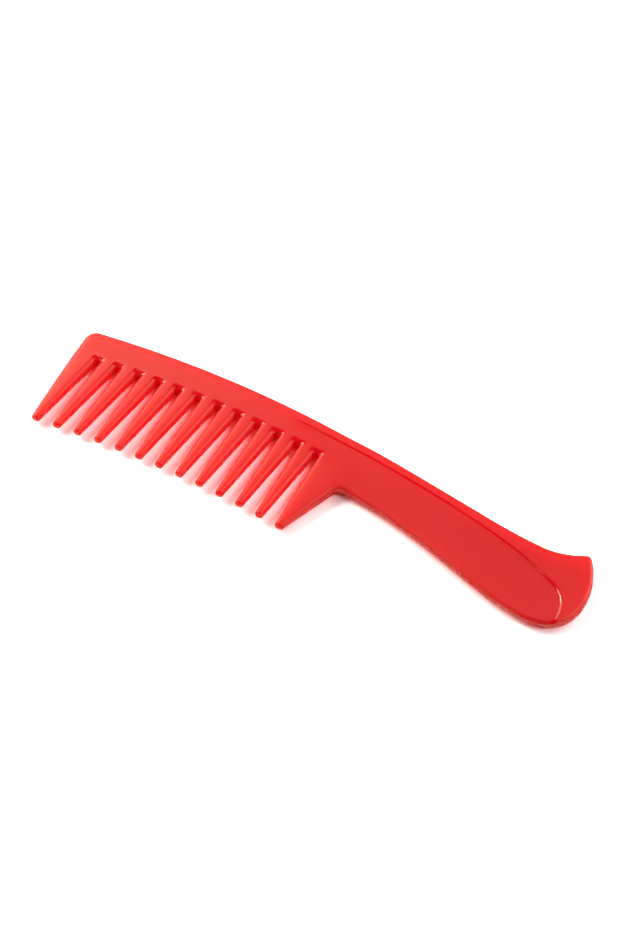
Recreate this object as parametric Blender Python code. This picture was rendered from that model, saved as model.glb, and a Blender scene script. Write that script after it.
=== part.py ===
"""Wide-tooth comb with a handle, moulded in one piece from red plastic.

The comb lies flat. X runs from the head to the end of the handle, the teeth point to -Y,
and Z is up. The mould parts at half thickness and both faces are alike: every wall is a
quarter round from the parting line up to one face and down to the other. So the comb is
lofted between one outline on the parting line and its partner on the face, point by point,
and a shallow panel is then scooped out of both faces of the handle.
"""
import math

import bmesh
import bpy
from mathutils import Vector

MM = 0.001

# Teeth
TOOTH_COUNT = 13
PITCH = 9.0 * MM
TOOTH_LENGTH = 36.2 * MM
TIP_WIDTH = 3.1 * MM
TIP_THICKNESS = 3.5 * MM
TIP_ROUND = 1.3 * MM
TIP_CORNER = 1.1 * MM
GAP_ROOT_WIDTH = 1.8 * MM
GAP_ROOT_CORNER = 0.5 * MM
GAP_ROUND = 2.0 * MM
GAP_FACE_CORNER = 0.9 * MM

# Spine and head
THICKNESS = 5.2 * MM
SPINE_WIDTH = 14.4 * MM
BOW_RADIUS = 455.0 * MM
EDGE_ROUND = 1.4 * MM
HEAD_OVERHANG = 8.2 * MM
HEAD_CORNER = 4.6 * MM
HEAD_ROUND = 3.5 * MM
HEAD_SAG = 0.45 * MM

# Handle. Shares are along its length from the last tooth, and down its drop from the back.
HANDLE_LENGTH = 111.6 * MM
HANDLE_DROP = 47.0 * MM
NECK_CORNER = 3.6 * MM
NECK_SHARES = (0.094, 0.575)
UNDERSIDE_SHARES = (
    (0.130, 0.585), (0.243, 0.625), (0.369, 0.692), (0.504, 0.785), (0.638, 0.887),
    (0.728, 0.949), (0.812, 0.988), (0.872, 1.000), (0.934, 0.960), (0.980, 0.850),
    (0.997, 0.730), (0.999, 0.600), (0.990, 0.470), (0.967, 0.321),
)
FLARE_CORNER = 2.3 * MM
FLARE_SHARES = (0.941, 0.219)
TOP_SHARES = (
    (0.888, 0.283), (0.836, 0.318), (0.785, 0.325), (0.656, 0.296), (0.522, 0.245),
    (0.387, 0.192), (0.153, 0.106),
)

# Panel scooped out of both faces of the handle. Its floor runs in smoothly from the end line.
PANEL_DEPTH = 0.45 * MM
PANEL_WALL = 0.5 * MM
PANEL_RAMP = 9.0 * MM
PANEL_STEP_SHARES = (
    (-0.250, 0.112), (-0.162, 0.127), (0.028, 0.166), (0.154, 0.198), (0.262, 0.236),
    (0.388, 0.283), (0.522, 0.345), (0.657, 0.421), (0.747, 0.481), (0.837, 0.569),
    (0.889, 0.628), (0.918, 0.692), (0.933, 0.755), (0.941, 0.825), (0.943, 0.889),
    (0.937, 0.990), (0.925, 1.080),
)
PANEL_BELOW_SHARES = (
    (0.700, 1.040), (0.500, 0.880), (0.300, 0.740), (0.130, 0.660), (0.060, 0.590),
)
PANEL_END_SHARES = ((-0.205, 0.119), (0.060, 0.560))

# Fineness of the curves
TIP_STEPS = 3
ROOT_STEPS = 3
CORNER_STEPS = 4
CURVE_STEPS = 3
PANEL_STEPS = 2
BACK_STEPS = 14
HEAD_STEPS = 2
HEAD_TOOTH_STEPS = 6
ROUND_STEPS = 5
RAMP_STEPS = 6

PLASTIC_COLOUR = (0.80, 0.035, 0.034, 1.0)
PLASTIC_ROUGHNESS = 0.38
SMOOTH_ANGLE = math.radians(30)

BLOCK_LENGTH = (TOOTH_COUNT - 1) * PITCH
BACK_Y = TOOTH_LENGTH + SPINE_WIDTH
HALF = THICKNESS / 2


def bow(x):
    """How far the tips, the roots and the back have curved down at x."""
    offset = x - BLOCK_LENGTH / 2
    return BOW_RADIUS - math.sqrt(BOW_RADIUS**2 - offset**2)


def handle_point(shares):
    """A point on the handle, from its shares of the handle's length and drop."""
    along, down = shares
    return Vector((BLOCK_LENGTH + along * HANDLE_LENGTH, BACK_Y - down * HANDLE_DROP))


def rounded_corner(before, corner, after, radius, steps):
    """The arc that rounds the corner between two straight edges, as points."""
    to_before = (before - corner).normalized()
    to_after = (after - corner).normalized()
    half_angle = to_before.angle(to_after) / 2
    centre = corner + (to_before + to_after).normalized() * (radius / math.sin(half_angle))
    start = corner + to_before * (radius / math.tan(half_angle)) - centre
    end = corner + to_after * (radius / math.tan(half_angle)) - centre
    sweep = start.angle(end)
    points = []
    for step in range(steps + 1):
        angle = sweep * step / steps
        points.append(centre + (start * math.sin(sweep - angle) + end * math.sin(angle)) / math.sin(sweep))
    return points


def smooth_curve(knots, steps):
    """Points of a smooth curve through the knots, with its slopes set by their spacing."""
    slopes = []
    for index in range(len(knots)):
        low = max(index - 1, 0)
        high = min(index + 1, len(knots) - 1)
        travel = sum((knots[place + 1] - knots[place]).length for place in range(low, high))
        slopes.append((knots[high] - knots[low]) / travel)
    points = []
    for index in range(len(knots) - 1):
        start, end = knots[index], knots[index + 1]
        chord = (end - start).length
        for step in range(steps):
            share = step / steps
            ease = share**2 * (3 - 2 * share)
            leave = share * (1 - share) ** 2
            arrive = share**2 * (1 - share)
            bend = slopes[index] * leave - slopes[index + 1] * arrive
            points.append(start.lerp(end, ease) + bend * chord)
    points.append(knots[-1])
    return points


def move_left(points, widths):
    """The points of a line, each moved to the left of the line's direction by its width."""
    moved = []
    for index, point in enumerate(points):
        before = points[max(index - 1, 0)]
        after = points[min(index + 1, len(points) - 1)]
        along = (after - before).normalized()
        moved.append(point + Vector((-along.y, along.x)) * widths[index])
    return moved


def tip_corners(tooth, level):
    """The left and right corner of a tooth's tip, before they are rounded."""
    x = tooth * PITCH
    y = TIP_ROUND * level - bow(x)
    half_width = TIP_WIDTH / 2 - TIP_ROUND * level
    return Vector((x - half_width, y)), Vector((x + half_width, y))


def root_corners(gap, level):
    """The left and right corner of a gap's root, before they are rounded."""
    x = (gap + 0.5) * PITCH
    y = TOOTH_LENGTH + GAP_ROUND * level - bow(x)
    half_width = GAP_ROOT_WIDTH / 2 + GAP_ROUND * level
    return Vector((x - half_width, y)), Vector((x + half_width, y))


def head_edge():
    """The bowed edge of the head, from its upper corner down to the first tooth's tip."""
    top = Vector((-HEAD_OVERHANG, BACK_Y - bow(-HEAD_OVERHANG)))
    tip = tip_corners(0, 0)[0]
    outward = Vector((tip.y - top.y, top.x - tip.x)).normalized()
    points = []
    steps = HEAD_STEPS + HEAD_TOOTH_STEPS
    for step in range(steps + 1):
        share = step / steps
        points.append(top.lerp(tip, share) + outward * (HEAD_SAG * 4 * share * (1 - share)))
    return points


def rim(level):
    """The outline from the neck round the handle, along the back and down the head.

    It stops short of the first tooth's tip. Its last HEAD_TOOTH_STEPS points lie on that
    tooth, where the wide round of the head narrows to the round of a tip.
    """
    last_tip = tip_corners(TOOTH_COUNT - 1, 0)[1]
    underside = [handle_point(shares) for shares in UNDERSIDE_SHARES]
    top = [handle_point(shares) for shares in TOP_SHARES]
    back = []
    for step in range(BACK_STEPS + 1):
        x = BLOCK_LENGTH * (1 - step / BACK_STEPS)
        back.append(Vector((x, BACK_Y - bow(x))))
    neck = handle_point(NECK_SHARES)
    flare = handle_point(FLARE_SHARES)
    head = head_edge()

    points = rounded_corner(last_tip, neck, underside[0], NECK_CORNER, CORNER_STEPS)
    points += smooth_curve(underside, CURVE_STEPS)[:-1]
    points += rounded_corner(underside[-1], flare, top[0], FLARE_CORNER, CORNER_STEPS)
    points += smooth_curve(top + back[:2], CURVE_STEPS)[:-1]
    points += back[1:]
    widths = [EDGE_ROUND] * len(points)
    points += rounded_corner(back[-1], head[0], head[1], HEAD_CORNER, CORNER_STEPS)
    for step in range(CORNER_STEPS + 1):
        widths.append(EDGE_ROUND + (HEAD_ROUND - EDGE_ROUND) * step / CORNER_STEPS)
    points += head[1:-1]
    widths += [HEAD_ROUND] * HEAD_STEPS
    for step in range(1, HEAD_TOOTH_STEPS):
        widths.append(HEAD_ROUND + (TIP_ROUND - HEAD_ROUND) * step / HEAD_TOOTH_STEPS)
    return move_left(points, [width * level for width in widths])


def outline(level):
    """The whole outline, anticlockwise, on the parting line (level 0) or the face (level 1).

    Returns its points, and for each tooth the places of the first and last point around it.
    """
    edge = rim(level)
    root_corner = GAP_ROOT_CORNER + (GAP_FACE_CORNER - GAP_ROOT_CORNER) * level
    tip_corner = TIP_CORNER * (1 - level * TIP_ROUND / (TIP_WIDTH / 2))
    points = edge[-HEAD_TOOTH_STEPS:]
    spans = []
    first = 0
    for tooth in range(TOOTH_COUNT):
        left_tip, right_tip = tip_corners(tooth, level)
        above_left = points[-1] if tooth == 0 else root_corners(tooth - 1, level)[1]
        last_tooth = tooth == TOOTH_COUNT - 1
        above_right = edge[0] if last_tooth else root_corners(tooth, level)[0]
        points += rounded_corner(above_left, left_tip, right_tip, tip_corner, TIP_STEPS)
        points += rounded_corner(left_tip, right_tip, above_right, tip_corner, TIP_STEPS)
        spans.append((first, len(points)))
        if not last_tooth:
            left_root, right_root = root_corners(tooth, level)
            next_tip = tip_corners(tooth + 1, level)[0]
            points += rounded_corner(right_tip, left_root, right_root, root_corner, ROOT_STEPS)
            points += rounded_corner(left_root, right_root, next_tip, root_corner, ROOT_STEPS)
            first = len(points) - 1
    points += edge[:-HEAD_TOOTH_STEPS]
    return points, spans


def half_thicknesses(points, spans):
    """Half the comb's thickness at each point of the face: each tooth thins to its tip."""
    halves = [HALF] * len(points)
    for tooth, (first, last) in enumerate(spans):
        root, along = points[first], (points[last] - points[first]).normalized()
        down = Vector((along.y, -along.x))
        left_tip, right_tip = tip_corners(tooth, 1)
        length = (left_tip.lerp(right_tip, 0.5) - root).dot(down)
        for place in range(first + 1, last):
            share = (points[place] - root).dot(down) / length
            halves[place] = HALF - (THICKNESS - TIP_THICKNESS) / 2 * share
    return halves


def comb_mesh():
    """The closed comb, lofted ring by ring between its two faces."""
    parting, spans = outline(0)
    face, _ = outline(1)
    halves = half_thicknesses(face, spans)
    mesh = bmesh.new()
    rings = []
    for step in range(-ROUND_STEPS, ROUND_STEPS + 1):
        angle = math.pi / 2 * step / ROUND_STEPS
        inward = 1 - math.cos(angle)
        ring = []
        for low, high, half in zip(parting, face, halves):
            place = low.lerp(high, inward)
            ring.append(mesh.verts.new((place.x, place.y, half * math.sin(angle))))
        rings.append(ring)
    for lower, upper in zip(rings, rings[1:]):
        for place in range(len(lower)):
            after = (place + 1) % len(lower)
            mesh.faces.new((lower[place], lower[after], upper[after], upper[place]))
    for ring in (rings[0], rings[-1]):
        spine = []
        for first, last in spans:
            mesh.faces.new(ring[first:last + 1])
        for place in range(len(ring)):
            if not any(first < place < last for first, last in spans):
                spine.append(ring[place])
        mesh.faces.new(spine)
    bmesh.ops.recalc_face_normals(mesh, faces=mesh.faces)
    return mesh


def run_in(share):
    """How much of its depth the panel's floor has at a share of its ramp."""
    if share < 0:
        return share
    share = min(share, 1)
    return share**2 * (3 - 2 * share)


def panel_mesh():
    """The tool that scoops the panel out of the upper face."""
    step_line = smooth_curve([handle_point(shares) for shares in PANEL_STEP_SHARES], PANEL_STEPS)
    below = [handle_point(shares) for shares in PANEL_BELOW_SHARES]
    floor = move_left(step_line, [-PANEL_WALL] * len(step_line)) + below
    mouth = move_left(step_line, [PANEL_WALL] * len(step_line)) + below
    mesh = bmesh.new()
    low = [mesh.verts.new((point.x, point.y, HALF - PANEL_DEPTH)) for point in floor]
    high = [mesh.verts.new((point.x, point.y, HALF + PANEL_DEPTH)) for point in mouth]
    mesh.faces.new(low)
    mesh.faces.new(high)
    for place in range(len(low)):
        after = (place + 1) % len(low)
        mesh.faces.new((low[place], low[after], high[after], high[place]))
    end_top, end_low = [handle_point(shares) for shares in PANEL_END_SHARES]
    along = (end_low - end_top).normalized()
    across = Vector((-along.y, along.x))
    for step in range(RAMP_STEPS + 1):
        place = end_top + across * (PANEL_RAMP * step / RAMP_STEPS)
        bmesh.ops.bisect_plane(
            mesh,
            geom=mesh.verts[:] + mesh.edges[:] + mesh.faces[:],
            plane_co=(place.x, place.y, 0),
            plane_no=(across.x, across.y, 0),
        )
    for vertex in mesh.verts:
        if vertex.co.z < HALF:
            share = (vertex.co.xy - end_top).dot(across) / PANEL_RAMP
            vertex.co.z = HALF - PANEL_DEPTH * run_in(share)
    bmesh.ops.recalc_face_normals(mesh, faces=mesh.faces)
    for face in mesh.faces:
        face.smooth = abs(face.normal.z) > math.cos(SMOOTH_ANGLE)
    return mesh


def plastic():
    """The red plastic of the whole comb."""
    material = bpy.data.materials.new("red_plastic")
    material.use_nodes = True
    shader = material.node_tree.nodes["Principled BSDF"]
    shader.inputs["Base Color"].default_value = PLASTIC_COLOUR
    shader.inputs["Roughness"].default_value = PLASTIC_ROUGHNESS
    shader.inputs["Metallic"].default_value = 0.0
    return material


def add_object(name, mesh):
    """An object of this name, with the bmesh as its mesh."""
    data = bpy.data.meshes.new(name)
    mesh.to_mesh(data)
    mesh.free()
    thing = bpy.data.objects.new(name, data)
    bpy.context.scene.collection.objects.link(thing)
    return thing


def add_panel_tool():
    """The panel's tool, mirrored to the underside."""
    tool = add_object("panel_tool", panel_mesh())
    tool.hide_render = True
    tool.display_type = "WIRE"
    mirror = tool.modifiers.new("both_faces", "MIRROR")
    mirror.use_axis = (False, False, True)
    mirror.use_mirror_merge = False
    return tool


def add_comb():
    """The comb, with its panel cut, lying on Z = 0 under the middle of its box."""
    comb = add_object("comb", comb_mesh())
    comb.data.materials.append(plastic())
    comb.data.shade_smooth()
    comb.data.set_sharp_from_angle(angle=SMOOTH_ANGLE)
    tool = add_panel_tool()
    cut = comb.modifiers.new("panel", "BOOLEAN")
    cut.operation = "DIFFERENCE"
    cut.solver = "EXACT"
    cut.object = tool
    normals = comb.modifiers.new("flat_faces", "WEIGHTED_NORMAL")
    normals.keep_sharp = True
    corners = [Vector(corner) for corner in comb.bound_box]
    middle = sum(corners, Vector()) / len(corners)
    comb.location = (-middle.x, -middle.y, HALF)
    tool.location = comb.location
    return comb


for old in list(bpy.data.objects):
    bpy.data.objects.remove(old, do_unlink=True)
add_comb()
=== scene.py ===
"""The red comb as it looks in the photograph: its fine surface and its plastic, on a white floor,
with the soft lights and the camera."""
import math

import bmesh
import bpy
import numpy as np
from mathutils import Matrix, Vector
from mathutils.geometry import delaunay_2d_cdt


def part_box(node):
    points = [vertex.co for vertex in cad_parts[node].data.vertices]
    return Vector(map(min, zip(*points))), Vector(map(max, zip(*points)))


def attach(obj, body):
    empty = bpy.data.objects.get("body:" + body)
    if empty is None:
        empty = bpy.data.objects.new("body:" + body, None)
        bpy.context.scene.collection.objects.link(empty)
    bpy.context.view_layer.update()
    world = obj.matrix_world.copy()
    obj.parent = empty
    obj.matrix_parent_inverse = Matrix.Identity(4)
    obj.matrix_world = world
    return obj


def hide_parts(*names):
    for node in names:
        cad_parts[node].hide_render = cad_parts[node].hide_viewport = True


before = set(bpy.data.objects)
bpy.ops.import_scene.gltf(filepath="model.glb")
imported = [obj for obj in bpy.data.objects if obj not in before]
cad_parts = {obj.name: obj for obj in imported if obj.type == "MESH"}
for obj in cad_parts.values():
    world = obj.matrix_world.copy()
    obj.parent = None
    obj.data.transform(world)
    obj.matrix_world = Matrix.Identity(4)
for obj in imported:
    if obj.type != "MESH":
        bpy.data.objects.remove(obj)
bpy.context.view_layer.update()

MM = 0.001

# The comb's sizes in millimetres, as its solid has them. X runs along the row from the first tooth's
# middle, Y up from the middle tooth's tip. A share runs along the handle and down from the back.
TOOTH_COUNT = 13
PITCH = 9.0
TOOTH_LENGTH = 36.2
TIP_WIDTH = 3.1
TIP_THICKNESS = 3.5
TIP_ROUND = 1.3
TIP_CORNER = 1.1
GAP_ROOT_WIDTH = 1.8
GAP_ROOT_CORNER = 0.5
GAP_ROUND = 2.0
GAP_FACE_CORNER = 0.9
THICKNESS = 5.2
SPINE_WIDTH = 14.4
BOW_RADIUS = 455.0
EDGE_ROUND = 1.4
HEAD_OVERHANG = 8.2
HEAD_CORNER = 4.6
HEAD_ROUND = 3.5
HEAD_SAG = 0.45
HANDLE_LENGTH = 111.6
HANDLE_DROP = 47.0
NECK_CORNER = 3.6
NECK_SHARES = (0.094, 0.575)
UNDERSIDE_SHARES = (
    (0.130, 0.585), (0.243, 0.625), (0.369, 0.692), (0.504, 0.785), (0.638, 0.887),
    (0.728, 0.949), (0.812, 0.988), (0.872, 1.000), (0.934, 0.960), (0.980, 0.850),
    (0.997, 0.730), (0.999, 0.600), (0.990, 0.470), (0.967, 0.321),
)
FLARE_CORNER = 2.3
FLARE_SHARES = (0.941, 0.219)
TOP_SHARES = (
    (0.888, 0.283), (0.836, 0.318), (0.785, 0.325), (0.656, 0.296), (0.522, 0.245),
    (0.387, 0.192), (0.153, 0.106),
)
PANEL_DEPTH = 0.45
PANEL_STEP_SHARES = (
    (-0.250, 0.112), (-0.162, 0.127), (0.028, 0.166), (0.154, 0.198), (0.262, 0.236),
    (0.388, 0.283), (0.522, 0.345), (0.657, 0.421), (0.747, 0.481), (0.837, 0.569),
    (0.889, 0.628), (0.918, 0.692), (0.933, 0.755), (0.941, 0.825), (0.943, 0.889),
    (0.937, 0.990), (0.925, 1.080),
)
PANEL_END_SHARES = ((-0.205, 0.119), (0.060, 0.560))

BLOCK_LENGTH = (TOOTH_COUNT - 1) * PITCH
BACK_Y = TOOTH_LENGTH + SPINE_WIDTH
HALF = THICKNESS / 2

# What only this surface has, in millimetres. The teeth start to thin this far above the roots. The
# two shares below it say how softly that joins the neck, and how far it may go.
THIN_START = 6.0
THIN_SOFTNESS = 0.10
THIN_LIMIT = 1.02

# How deep the crown of the teeth would be at their parting line, how far below the roots it has
# grown, and how much wider it takes the outer flank of the first tooth and of the last. It stays as
# deep past the last tooth, so each face of the handle's lower half lies lower than in the solid.
TOOTH_CROWN = 0.45
CROWN_RAMP = 9.0
HEAD_SPREAD = 3.2
NECK_SPREAD = 14.0

# The width of the panel's wall along the handle and around its end, the heights between which it
# changes, and how far the floor runs in at the top and at the bottom of the end line
PANEL_WALL = (0.46, 1.3)
WALL_TURN = (27.0, 20.0)
PANEL_RAMP = (4.0, 14.0)

# The mould's polish starts this far below the gap roots and fades over these widths, in the roots
# and beside the panel's wall
POLISH_REACH = 1.2
POLISH_FADE = 0.4
WALL_FADE = 0.15

# The fineness of the outline, and the places of the face's points
TIP_STEPS = 7
ROOT_STEPS = 6
SIDE_STEPS = 18
CORNER_STEPS = 12
CURVE_STEPS = 14
PANEL_STEPS = 16
BACK_STEPS = 60
HEAD_STEPS = 8
HEAD_TOOTH_STEPS = 26
ROUND_STEPS = 10
STEP_ROWS = (-0.8, -0.6, -0.42, -0.31, -0.2, -0.1, 0.0, 0.1, 0.2, 0.31, 0.42, 0.6, 0.8)
STEP_CLEARANCE = 0.22
GRID = 1.3
GRID_ROW = 0.87 * GRID
GRID_CLEARANCE = 0.5
MERGE = 1e-6
PROBE = 0.05
CHUNK = 1000

# The plastic: two reds that drift into each other, its sheen, how far it scatters red, green and
# blue, and its grain. Lengths are in metres.
IOR = 1.5
DEEP_RED = (0.95, 0.0022, 0.0150, 1)
LIGHT_RED = (0.97, 0.0034, 0.0185, 1)
DRIFT_SCALE = 28.0
DRIFT_DETAIL = 3.0
DRIFT_RANGE = (0.3, 0.7)
SHEEN = 0.62
SHEEN_TINT = (1.0, 0.96, 0.60, 1)
SCATTER = (1.0, 0.03, 0.04)
SCATTER_SCALE = 0.011
GRAIN_SCALE = 900.0
GRAIN_DETAIL = 4.0
GRAIN_STRENGTH = 0.25
GRAIN_DEPTH = 0.00002
ROUGHNESS = (0.42, 0.52)
POLISHED = 0.16

# The floor: half its width and how far it lies below the comb, in metres. It is plain white where it
# only gives light back, and lighter than white where it is seen.
FLOOR_REACH = 4.0
FLOOR_DROP = 0.00005
FLOOR_WHITE = 0.92
FLOOR_GAIN = 1.8

# The camera, fitted to the edges of the teeth: its aim on the comb in millimetres, the way from
# there to the camera with its length in metres, and the focal length for a picture of this height
AIM = (103.6, 28.85, 0.0)
SIGHT = (0.3245, -0.5702, 0.7546)
SIGHT_LENGTH = 0.65607
FOCAL_PIXELS = 1750
PICTURE_HEIGHT = 931
SENSOR = 36.0
NEAR = 0.01

# The lights: the way to each, its radius in degrees as the comb sees it, its watts and its colour
LIGHT_DISTANCE = 1.2
WARM = (1.0, 0.98, 0.93)
MILD = (1.0, 0.99, 0.97)
PALE = (1.0, 0.99, 0.98)
LIGHTS = {
    "key": ((-0.78, 0.12, 0.61), 12, 6.6, WARM),
    "left": ((-0.87, -0.06, 0.49), 16, 4.1, WARM),
    "back_left": ((-0.69, 0.47, 0.56), 19, 4.0, WARM),
    "front_left": ((-0.66, -0.50, 0.56), 12, 1.1, MILD),
    "back_right": ((0.43, 0.75, 0.50), 19, 8.2, PALE),
    "right": ((0.72, 0.12, 0.68), 14, 4.0, PALE),
}

# The dim room: its colour, the heights between which it changes, and its strengths. Then how often
# light may bounce.
ROOM_COLOUR = (1, 0.98, 0.96, 1)
ROOM_HEIGHTS = (0.2, 0.8)
ROOM_STRENGTHS = (0.06, 0.03)
BOUNCES = 24
DIFFUSE_BOUNCES = 16


def as_array(points):
    """The points as rows of numbers."""
    return np.array([tuple(point) for point in points])


def ease(values):
    """From 0 to 1 with a soft start and a soft end."""
    values = np.clip(values, 0, 1)
    return values * values * (3 - 2 * values)


def bow(x):
    """How far the bowed comb has curved down at a place, or at an array of them."""
    offset = x - BLOCK_LENGTH / 2
    return BOW_RADIUS - np.sqrt(BOW_RADIUS**2 - offset**2)


def handle_point(shares):
    """A point on the handle, from its shares of the handle's length and drop."""
    along, down = shares
    return Vector((BLOCK_LENGTH + along * HANDLE_LENGTH, BACK_Y - down * HANDLE_DROP))


def rounded_corner(before, corner, after, radius, steps):
    """The arc that rounds the corner between two straight edges."""
    to_before = (before - corner).normalized()
    to_after = (after - corner).normalized()
    half_angle = to_before.angle(to_after) / 2
    centre = corner + (to_before + to_after).normalized() * (radius / math.sin(half_angle))
    start = corner + to_before * (radius / math.tan(half_angle)) - centre
    end = corner + to_after * (radius / math.tan(half_angle)) - centre
    sweep = start.angle(end)
    points = []
    for step in range(steps + 1):
        angle = sweep * step / steps
        spoke = (start * math.sin(sweep - angle) + end * math.sin(angle)) / math.sin(sweep)
        points.append(centre + spoke)
    return points


def smooth_curve(knots, steps):
    """A smooth curve through the knots, with this many steps from each to the next."""
    slopes = []
    for index in range(len(knots)):
        low = max(index - 1, 0)
        high = min(index + 1, len(knots) - 1)
        travel = sum((knots[place + 1] - knots[place]).length for place in range(low, high))
        slopes.append((knots[high] - knots[low]) / travel)
    points = []
    for index in range(len(knots) - 1):
        start, end = knots[index], knots[index + 1]
        chord = (end - start).length
        for step in range(steps):
            share = step / steps
            leave = share * (1 - share) ** 2
            arrive = share**2 * (1 - share)
            bend = slopes[index] * leave - slopes[index + 1] * arrive
            points.append(start.lerp(end, share**2 * (3 - 2 * share)) + bend * chord)
    points.append(knots[-1])
    return points


def move_left(points, widths):
    """The points of a line, each moved to the left of the line's direction by its width."""
    moved = []
    for index, point in enumerate(points):
        before = points[max(index - 1, 0)]
        after = points[min(index + 1, len(points) - 1)]
        along = (after - before).normalized()
        moved.append(point + Vector((-along.y, along.x)) * widths[index])
    return moved


def between(start, end, steps):
    """Points strictly between two points."""
    return [start.lerp(end, step / steps) for step in range(1, steps)]


def tip_corners(tooth, level):
    """The left and right corner of a tooth's tip, before they are rounded."""
    x = tooth * PITCH
    y = TIP_ROUND * level - bow(x)
    half_width = TIP_WIDTH / 2 - TIP_ROUND * level
    return Vector((x - half_width, y)), Vector((x + half_width, y))


def root_corners(gap, level):
    """The left and right corner of a gap's root, before they are rounded."""
    x = (gap + 0.5) * PITCH
    y = TOOTH_LENGTH + GAP_ROUND * level - bow(x)
    half_width = GAP_ROOT_WIDTH / 2 + GAP_ROUND * level
    return Vector((x - half_width, y)), Vector((x + half_width, y))


def head_edge():
    """The bowed edge of the head, from its upper corner down to the first tooth's tip."""
    top = Vector((-HEAD_OVERHANG, BACK_Y - bow(-HEAD_OVERHANG)))
    tip = tip_corners(0, 0)[0]
    outward = Vector((tip.y - top.y, top.x - tip.x)).normalized()
    points = []
    steps = HEAD_STEPS + HEAD_TOOTH_STEPS
    for step in range(steps + 1):
        share = step / steps
        points.append(top.lerp(tip, share) + outward * (HEAD_SAG * 4 * share * (1 - share)))
    return points


def rim(level):
    """The outline from the neck round the handle, along the back and down the head."""
    last_tip = tip_corners(TOOTH_COUNT - 1, 0)[1]
    underside = [handle_point(shares) for shares in UNDERSIDE_SHARES]
    top = [handle_point(shares) for shares in TOP_SHARES]
    back = []
    for step in range(BACK_STEPS + 1):
        x = BLOCK_LENGTH * (1 - step / BACK_STEPS)
        back.append(Vector((x, BACK_Y - bow(x))))
    neck = handle_point(NECK_SHARES)
    flare = handle_point(FLARE_SHARES)
    head = head_edge()

    points = rounded_corner(last_tip, neck, underside[0], NECK_CORNER, CORNER_STEPS)
    points += smooth_curve(underside, CURVE_STEPS)[:-1]
    points += rounded_corner(underside[-1], flare, top[0], FLARE_CORNER, CORNER_STEPS)
    points += smooth_curve(top + back[:2], CURVE_STEPS)[:-1]
    points += back[1:]
    widths = [EDGE_ROUND] * len(points)
    points += rounded_corner(back[-1], head[0], head[1], HEAD_CORNER, CORNER_STEPS)
    for step in range(CORNER_STEPS + 1):
        widths.append(EDGE_ROUND + (HEAD_ROUND - EDGE_ROUND) * step / CORNER_STEPS)
    corner_end = points[-1]
    kept = [point for point in head[1:-1] if point.y < corner_end.y]
    points += kept
    for index in range(len(kept)):
        step = index - (len(kept) - HEAD_TOOTH_STEPS)
        widths.append(HEAD_ROUND + (TIP_ROUND - HEAD_ROUND) * max(step, 0) / HEAD_TOOTH_STEPS)
    return move_left(points, [width * level for width in widths])


def outline(level):
    """The whole outline, anticlockwise, on the parting line (level 0) or the face (level 1)."""
    edge = rim(level)
    root_corner = GAP_ROOT_CORNER + (GAP_FACE_CORNER - GAP_ROOT_CORNER) * level
    tip_corner = TIP_CORNER * (1 - level * TIP_ROUND / (TIP_WIDTH / 2))
    points = []
    for tooth in range(TOOTH_COUNT):
        left_tip, right_tip = tip_corners(tooth, level)
        above_left = edge[-1] if tooth == 0 else root_corners(tooth - 1, level)[1]
        last_tooth = tooth == TOOTH_COUNT - 1
        above_right = edge[0] if last_tooth else root_corners(tooth, level)[0]
        corner = rounded_corner(above_left, left_tip, right_tip, tip_corner, TIP_STEPS)
        if tooth > 0:
            points += between(points[-1], corner[0], SIDE_STEPS)
        points += corner
        points += rounded_corner(left_tip, right_tip, above_right, tip_corner, TIP_STEPS)
        if last_tooth:
            points += between(points[-1], edge[0], SIDE_STEPS)
        else:
            left_root, right_root = root_corners(tooth, level)
            next_tip = tip_corners(tooth + 1, level)[0]
            corner = rounded_corner(right_tip, left_root, right_root, root_corner, ROOT_STEPS)
            points += between(points[-1], corner[0], SIDE_STEPS)
            points += corner
            points += rounded_corner(left_root, right_root, next_tip, root_corner, ROOT_STEPS)
    return points + edge


STEP_LINE = smooth_curve([handle_point(shares) for shares in PANEL_STEP_SHARES], PANEL_STEPS)


def step_distance(points):
    """How far each point lies inside the panel's step line (negative outside it)."""
    line = as_array(STEP_LINE)
    starts, spans = line[:-1], np.diff(line, axis=0)
    lengths = (spans**2).sum(1)
    result = np.empty(len(points))
    for first in range(0, len(points), CHUNK):
        block = points[first:first + CHUNK]
        offsets = block[:, None, :] - starts[None]
        shares = np.clip((offsets * spans).sum(2) / lengths, 0, 1)
        gaps = offsets - shares[..., None] * spans
        away = np.hypot(gaps[..., 0], gaps[..., 1])
        nearest = away.argmin(1)
        rows = np.arange(len(block))
        span, gap = spans[nearest], gaps[rows, nearest]
        side = np.sign(span[:, 1] * gap[:, 0] - span[:, 0] * gap[:, 1])
        result[first:first + CHUNK] = side * away[rows, nearest]
    return result


def wall_width(points):
    """The panel's wall is steep along the handle and softer around its end."""
    turn = ease((WALL_TURN[0] - points[:, 1]) / (WALL_TURN[0] - WALL_TURN[1]))
    return PANEL_WALL[0] + (PANEL_WALL[1] - PANEL_WALL[0]) * turn


def panel_ramp(points):
    """The share of its depth that the panel has reached, 0 before its end line at the neck."""
    end_top, end_low = as_array(handle_point(shares) for shares in PANEL_END_SHARES)
    length = np.linalg.norm(end_low - end_top)
    along = (end_low - end_top) / length
    across = np.array((-along[1], along[0]))
    down_end = ease((points - end_top) @ along / length)
    run = PANEL_RAMP[0] + (PANEL_RAMP[1] - PANEL_RAMP[0]) * down_end
    return ease((points - end_top) @ across / run)


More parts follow.
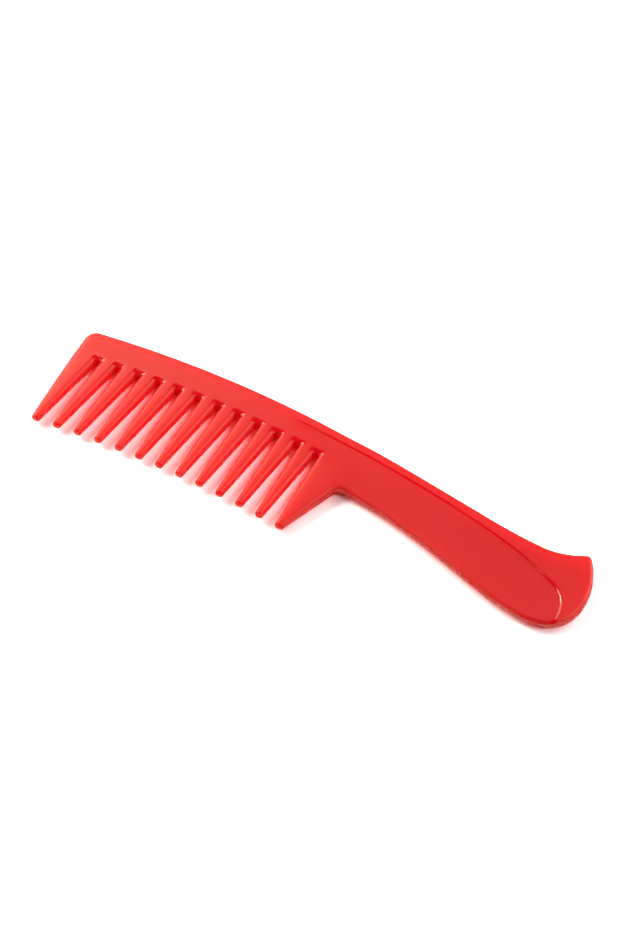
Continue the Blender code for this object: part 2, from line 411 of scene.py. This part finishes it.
def tooth_crown(points):
    """How far a tooth's face falls away from its middle line, and the handle's lower half with it."""
    x, y = points[:, 0], points[:, 1]
    tooth = np.clip(np.round(x / PITCH), 0, TOOTH_COUNT - 1)
    bowed = bow(tooth * PITCH)
    up = np.clip((y + bowed) / TOOTH_LENGTH, 0, 1)
    half_width = TIP_WIDTH / 2 + ((PITCH - GAP_ROOT_WIDTH) / 2 - TIP_WIDTH / 2) * up
    aside = x - tooth * PITCH
    outer_left = (tooth == 0) & (aside < 0)
    outer_right = (tooth == TOOTH_COUNT - 1) & (aside > 0)
    half_width = np.where(outer_left, half_width + HEAD_SPREAD * up, half_width)
    half_width = np.where(outer_right, half_width + NECK_SPREAD * up, half_width)
    fade = ease((TOOTH_LENGTH - bowed - y) / CROWN_RAMP)
    return TOOTH_CROWN * np.minimum(np.abs(aside) / half_width, 1.0) ** 2 * fade


def half_thickness(points):
    """Half the comb's thickness at each point of its face."""
    x, y = points[:, 0], points[:, 1]
    down_teeth = (TOOTH_LENGTH + THIN_START - bow(x) - y) / (TOOTH_LENGTH + THIN_START)
    neck_top = np.array(tuple(root_corners(TOOTH_COUNT - 2, 1)[1])) + (0, THIN_START)
    neck_low = np.array(tuple(handle_point(NECK_SHARES)))
    along = (neck_low - neck_top) / np.linalg.norm(neck_low - neck_top)
    down = np.array((along[1], -along[0]))
    last_tip = np.array((BLOCK_LENGTH, -bow(BLOCK_LENGTH)))
    down_neck = ((points - neck_top) @ down) / ((last_tip - neck_top) @ down)
    soft = THIN_SOFTNESS
    joined = -soft * np.log(np.exp(-down_teeth / soft) + np.exp(-down_neck / soft))
    fall = soft / 2 * np.log(1 + np.exp(2 * joined / soft))
    thinned = HALF - (THICKNESS - TIP_THICKNESS) / 2 * np.minimum(fall, THIN_LIMIT)
    in_panel = ease(step_distance(points) / wall_width(points) + 0.5) * panel_ramp(points)
    return thinned - tooth_crown(points) - PANEL_DEPTH * in_panel


def inside_polygon(points, polygon):
    """Which of the points lie inside the polygon."""
    inside = np.zeros(len(points), bool)
    ends = np.roll(polygon, -1, axis=0)
    for start, end in zip(polygon, ends):
        crosses = (start[1] > points[:, 1]) != (end[1] > points[:, 1])
        with np.errstate(divide="ignore", invalid="ignore"):
            at = start[0] + (points[:, 1] - start[1]) / (end[1] - start[1]) * (end[0] - start[0])
        inside ^= crosses & (points[:, 0] < at)
    return inside


def clearance(points, others):
    """How far each point is from the nearest of the others."""
    result = np.empty(len(points))
    for first in range(0, len(points), CHUNK):
        block = points[first:first + CHUNK]
        away = block[:, None, :] - others[None]
        result[first:first + CHUNK] = np.sqrt((away**2).sum(2).min(1))
    return result


def face_points(polygon):
    """Points inside the face: along the panel's step and on a staggered grid."""
    step = []
    for offset in STEP_ROWS:
        step += move_left(STEP_LINE, [-offset] * len(STEP_LINE))
    step = as_array(step)
    step = step[inside_polygon(step, polygon)]
    step = step[clearance(step, polygon) > STEP_CLEARANCE]
    low, high = polygon.min(0), polygon.max(0)
    grid = []
    row = 0
    y = low[1]
    while y < high[1]:
        xs = np.arange(low[0] + (row % 2) * GRID / 2, high[0], GRID)
        grid += [(x, y) for x in xs]
        y += GRID_ROW
        row += 1
    grid = np.array(grid)
    grid = grid[inside_polygon(grid, polygon)]
    grid = grid[clearance(grid, polygon) > GRID_CLEARANCE]
    grid = grid[clearance(grid, step) > GRID_CLEARANCE]
    return np.vstack((step, grid))


def triangulate(polygon, inner):
    """The face's points as the triangulation orders them, its triangles, and where each point went."""
    count = len(polygon)
    flat = [Vector(point) for point in np.vstack((polygon, inner))]
    edges = [(place, (place + 1) % count) for place in range(count)]
    verts, _, triangles, origins, _, _ = delaunay_2d_cdt(flat, edges, [list(range(count))], 1, MERGE)
    if len(verts) != len(flat):
        raise ValueError("the face's points meet: %d of %d" % (len(verts), len(flat)))
    order = [0] * len(flat)
    for new, olds in enumerate(origins):
        for old in olds:
            order[old] = new
    return as_array(verts), triangles, order


def edge_leans(face, parting):
    """How far the crown would go on falling across the round, at its slope at the face's edge."""
    reach = np.linalg.norm(face - parting, axis=1)
    probe = face + (face - parting) / reach[:, None] * PROBE
    return (tooth_crown(face) - tooth_crown(probe)) / PROBE * reach


def comb_mesh():
    """Rings from the lower face round the parting line to the upper face, and the two faces."""
    parting, face = outline(0), outline(1)
    polygon = as_array(face)
    places, triangles, order = triangulate(polygon, face_points(polygon))
    halves = half_thickness(places)
    leans = edge_leans(polygon, as_array(parting))
    count = len(face)
    mesh = bmesh.new()
    rings = []
    for step in range(1 - ROUND_STEPS, ROUND_STEPS):
        angle = math.pi / 2 * step / ROUND_STEPS
        inward = 1 - math.cos(angle)
        ring = []
        for place in range(count):
            spot = parting[place].lerp(face[place], inward)
            lean = leans[place] * (1 - inward) * inward**2
            height = halves[order[place]] * math.sin(abs(angle)) - lean
            ring.append(mesh.verts.new((spot.x, spot.y, math.copysign(height, step))))
        rings.append(ring)
    ends = []
    for sign in (-1, 1):
        cap = [mesh.verts.new((spot[0], spot[1], sign * half)) for spot, half in zip(places, halves)]
        for triangle in triangles:
            mesh.faces.new([cap[corner] for corner in triangle][::sign])
        ends.append([cap[order[place]] for place in range(count)])
    rings = [ends[0]] + rings + [ends[1]]
    for lower, upper in zip(rings, rings[1:]):
        for place in range(count):
            after = (place + 1) % count
            mesh.faces.new((lower[place], lower[after], upper[after], upper[place]))
    bmesh.ops.recalc_face_normals(mesh, faces=mesh.faces)
    for side in mesh.faces:
        side.smooth = True
    return mesh


def mark_polish(mesh):
    """The mould is smoother in the gap roots and on the panel's wall than on the faces."""
    layer = mesh.verts.layers.float.new("polish")
    spots = np.array([(vertex.co.x, vertex.co.y) for vertex in mesh.verts])
    wall = 1 - ease((np.abs(step_distance(spots)) - wall_width(spots) / 2) / WALL_FADE)
    wall *= panel_ramp(spots)
    for vertex, on_wall in zip(mesh.verts, wall):
        gap = min(max(math.floor(vertex.co.x / PITCH), 0), TOOTH_COUNT - 2)
        x = (gap + 0.5) * PITCH
        aside = GAP_ROOT_WIDTH / 2 + GAP_ROUND - abs(vertex.co.x - x)
        into = vertex.co.y - (TOOTH_LENGTH - bow(x)) + POLISH_REACH
        beyond = POLISH_REACH + GAP_ROUND - into
        depth = min(aside + POLISH_FADE, into, beyond + POLISH_FADE)
        vertex[layer] = max(min(depth / POLISH_FADE, 1.0), on_wall)


def add_comb():
    """The comb in metres, centred on its node's box and never longer than that, and the place where
    the zero point of its sizes has come to lie, in the middle of its thickness."""
    mesh = comb_mesh()
    mark_polish(mesh)
    low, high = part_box("comb")
    xs = [vertex.co.x for vertex in mesh.verts]
    ys = [vertex.co.y for vertex in mesh.verts]
    middle = Vector(((min(xs) + max(xs)) / 2, (min(ys) + max(ys)) / 2, -HALF))
    centre = Vector(((low[0] + high[0]) / 2, (low[1] + high[1]) / 2, low[2]))
    fit = min(1.0, (high[0] - low[0]) / ((max(xs) - min(xs)) * MM))
    for vertex in mesh.verts:
        vertex.co = (vertex.co - middle) * (MM * fit) + centre
        vertex.co.z = centre.z + (vertex.co.z - centre.z) / fit
    data = bpy.data.meshes.new("comb_surface")
    mesh.to_mesh(data)
    mesh.free()
    comb = bpy.data.objects.new("comb_surface", data)
    bpy.context.scene.collection.objects.link(comb)
    return comb, centre - middle * MM


def node(tree, kind, **values):
    """A new shader node with these settings."""
    made = tree.nodes.new(kind)
    for name, value in values.items():
        setattr(made, name, value)
    return made


def red_plastic():
    """Red plastic that scatters light inside, with a fine grain and its polished places."""
    material = bpy.data.materials.new("red_plastic_satin")
    material.use_nodes = True
    tree = material.node_tree
    shader = tree.nodes["Principled BSDF"]
    shader.inputs["Metallic"].default_value = 0.0
    shader.inputs["IOR"].default_value = IOR
    shader.inputs["Specular IOR Level"].default_value = SHEEN
    shader.inputs["Specular Tint"].default_value = SHEEN_TINT
    shader.inputs["Subsurface Weight"].default_value = 1.0
    shader.inputs["Subsurface Radius"].default_value = SCATTER
    shader.inputs["Subsurface Scale"].default_value = SCATTER_SCALE
    place = node(tree, "ShaderNodeTexCoord")

    drift = node(tree, "ShaderNodeTexNoise")
    drift.inputs["Scale"].default_value = DRIFT_SCALE
    drift.inputs["Detail"].default_value = DRIFT_DETAIL
    tree.links.new(place.outputs["Object"], drift.inputs["Vector"])
    colours = node(tree, "ShaderNodeValToRGB")
    deep, light = colours.color_ramp.elements
    deep.position = DRIFT_RANGE[0]
    deep.color = DEEP_RED
    light.position = DRIFT_RANGE[1]
    light.color = LIGHT_RED
    tree.links.new(drift.outputs["Fac"], colours.inputs["Fac"])
    tree.links.new(colours.outputs["Color"], shader.inputs["Base Color"])

    grain = node(tree, "ShaderNodeTexNoise")
    grain.inputs["Scale"].default_value = GRAIN_SCALE
    grain.inputs["Detail"].default_value = GRAIN_DETAIL
    tree.links.new(place.outputs["Object"], grain.inputs["Vector"])
    rough = node(tree, "ShaderNodeMapRange")
    rough.inputs["To Min"].default_value = ROUGHNESS[0]
    rough.inputs["To Max"].default_value = ROUGHNESS[1]
    tree.links.new(grain.outputs["Fac"], rough.inputs["Value"])
    polish = node(tree, "ShaderNodeAttribute", attribute_name="polish")
    shine = node(tree, "ShaderNodeMapRange")
    shine.inputs["To Max"].default_value = POLISHED
    tree.links.new(polish.outputs["Fac"], shine.inputs["Value"])
    tree.links.new(rough.outputs["Result"], shine.inputs["To Min"])
    tree.links.new(shine.outputs["Result"], shader.inputs["Roughness"])
    bump = node(tree, "ShaderNodeBump")
    bump.inputs["Strength"].default_value = GRAIN_STRENGTH
    bump.inputs["Distance"].default_value = GRAIN_DEPTH
    tree.links.new(grain.outputs["Fac"], bump.inputs["Height"])
    tree.links.new(bump.outputs["Normal"], shader.inputs["Normal"])
    return material


def white_floor():
    """A white that camera, glossy and transmission rays find lighter than white, so that it burns
    out around the comb's shadow."""
    material = bpy.data.materials.new("white_floor")
    material.use_nodes = True
    tree = material.node_tree
    tree.nodes.clear()
    output = node(tree, "ShaderNodeOutputMaterial")
    plain = node(tree, "ShaderNodeBsdfDiffuse")
    plain.inputs["Color"].default_value = (FLOOR_WHITE, FLOOR_WHITE, FLOOR_WHITE, 1)
    bright = node(tree, "ShaderNodeBsdfDiffuse")
    bright.inputs["Color"].default_value = (FLOOR_GAIN, FLOOR_GAIN, FLOOR_GAIN, 1)
    seen = node(tree, "ShaderNodeLightPath")
    glossy = node(tree, "ShaderNodeMath", operation="MAXIMUM")
    either = node(tree, "ShaderNodeMath", operation="MAXIMUM")
    choice = node(tree, "ShaderNodeMixShader")
    tree.links.new(seen.outputs["Is Camera Ray"], glossy.inputs[0])
    tree.links.new(seen.outputs["Is Glossy Ray"], glossy.inputs[1])
    tree.links.new(glossy.outputs["Value"], either.inputs[0])
    tree.links.new(seen.outputs["Is Transmission Ray"], either.inputs[1])
    tree.links.new(either.outputs["Value"], choice.inputs["Fac"])
    tree.links.new(plain.outputs["BSDF"], choice.inputs[1])
    tree.links.new(bright.outputs["BSDF"], choice.inputs[2])
    tree.links.new(choice.outputs["Shader"], output.inputs["Surface"])
    return material


def add_floor():
    """The floor, a hair below the comb."""
    mesh = bpy.data.meshes.new("floor")
    corners = [
        (-FLOOR_REACH, -FLOOR_REACH, 0),
        (FLOOR_REACH, -FLOOR_REACH, 0),
        (FLOOR_REACH, FLOOR_REACH, 0),
        (-FLOOR_REACH, FLOOR_REACH, 0),
    ]
    mesh.from_pydata(corners, [], [(0, 1, 2, 3)])
    floor = bpy.data.objects.new("floor", mesh)
    floor.location.z = -FLOOR_DROP
    floor.data.materials.append(white_floor())
    bpy.context.scene.collection.objects.link(floor)
    return floor


def aim(thing, target):
    """Turns a camera or a light towards the target."""
    thing.rotation_euler = (thing.location - target).to_track_quat("Z", "Y").to_euler()


def add_camera(target):
    """The photograph's camera."""
    data = bpy.data.cameras.new("camera")
    data.sensor_fit = "AUTO"
    data.sensor_width = SENSOR
    data.lens = SENSOR * FOCAL_PIXELS / PICTURE_HEIGHT
    data.clip_start = NEAR
    camera = bpy.data.objects.new("camera", data)
    camera.location = target + Vector(SIGHT).normalized() * SIGHT_LENGTH
    aim(camera, target)
    bpy.context.scene.collection.objects.link(camera)
    bpy.context.scene.camera = camera


def add_light(name, target):
    """A soft round light that faces the target."""
    direction, spread, power, colour = LIGHTS[name]
    data = bpy.data.lights.new(name, "AREA")
    data.shape = "DISK"
    data.size = LIGHT_DISTANCE * math.tan(math.radians(spread)) * 2
    data.energy = power
    data.color = colour
    light = bpy.data.objects.new(name, data)
    light.location = target + Vector(direction).normalized() * LIGHT_DISTANCE
    aim(light, target)
    bpy.context.scene.collection.objects.link(light)


def add_world():
    """The dim room, darker overhead."""
    world = bpy.data.worlds.new("world")
    world.use_nodes = True
    tree = world.node_tree
    background = tree.nodes["Background"]
    view = node(tree, "ShaderNodeTexCoord")
    height = node(tree, "ShaderNodeSeparateXYZ")
    tree.links.new(view.outputs["Generated"], height.inputs["Vector"])
    dome = node(tree, "ShaderNodeMapRange", interpolation_type="SMOOTHSTEP")
    dome.inputs["From Min"].default_value = ROOM_HEIGHTS[0]
    dome.inputs["From Max"].default_value = ROOM_HEIGHTS[1]
    dome.inputs["To Min"].default_value = ROOM_STRENGTHS[0]
    dome.inputs["To Max"].default_value = ROOM_STRENGTHS[1]
    tree.links.new(height.outputs["Z"], dome.inputs["Value"])
    background.inputs["Color"].default_value = ROOM_COLOUR
    tree.links.new(dome.outputs["Result"], background.inputs["Strength"])
    bpy.context.scene.world = world


comb, origin = add_comb()
comb.data.materials.append(red_plastic())
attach(comb, "root")
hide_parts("comb")

floor = add_floor()

target = origin + Vector(AIM) * MM
add_camera(target)
for name in LIGHTS:
    add_light(name, target)
add_world()
bpy.context.scene.view_settings.view_transform = "Standard"
bpy.context.scene.cycles.max_bounces = BOUNCES
bpy.context.scene.cycles.diffuse_bounces = DIFFUSE_BOUNCES
